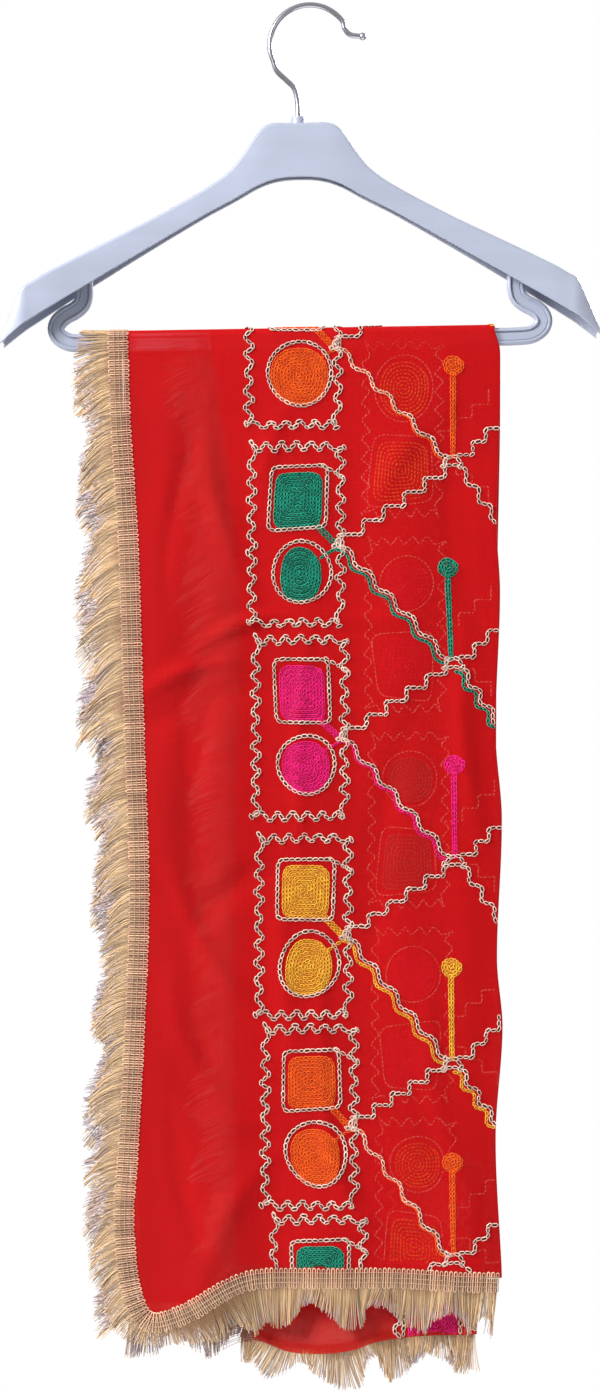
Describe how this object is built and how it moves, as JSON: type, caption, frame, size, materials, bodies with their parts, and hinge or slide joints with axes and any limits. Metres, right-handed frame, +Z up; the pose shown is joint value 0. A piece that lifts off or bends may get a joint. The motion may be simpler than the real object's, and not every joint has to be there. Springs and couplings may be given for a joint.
{
  "type": "dupatta folded over a hanger",
  "caption": "Sheer embroidered dupatta with a fringed border, folded lengthwise and hung flat over the bar of a moulded hanger with a wire hook.",
  "frame": {"origin": "inner top of the hook, where a rail or peg carries the hanger", "axes": "+Z up, +X to the right seen from the front, the front fall faces -Y"},
  "size_m": [0.43, 0.034, 1.0008],
  "materials": {
    "steel_wire": "bright plated wire with fine drawing marks",
    "hanger_plastic": "pale blue-grey moulded plastic, satin",
    "sheer_cloth": "sheer plain weave, soft sheen, lets the layer behind show through",
    "fringe_thread": "glossy twisted thread, pale gold",
    "cream_thread": "chain stitch outlines, cream thread",
    "orange_thread": "chain stitch filling, orange thread",
    "green_thread": "chain stitch filling, green thread",
    "magenta_thread": "chain stitch filling, magenta thread",
    "yellow_thread": "chain stitch filling, yellow thread"
  },
  "bodies": {
    "root": {"hanger_hook": "steel_wire", "hanger_body": "hanger_plastic", "hanger_bar": "hanger_plastic", "cloth_front": "sheer_cloth", "cloth_rear": "sheer_cloth", "trim_front_side": "fringe_thread", "trim_rear_side": "fringe_thread", "trim_front_inner": "fringe_thread", "trim_rear_inner": "fringe_thread", "trim_front_hem": "fringe_thread", "trim_rear_hem": "fringe_thread"}
  },
  "joints": []
}
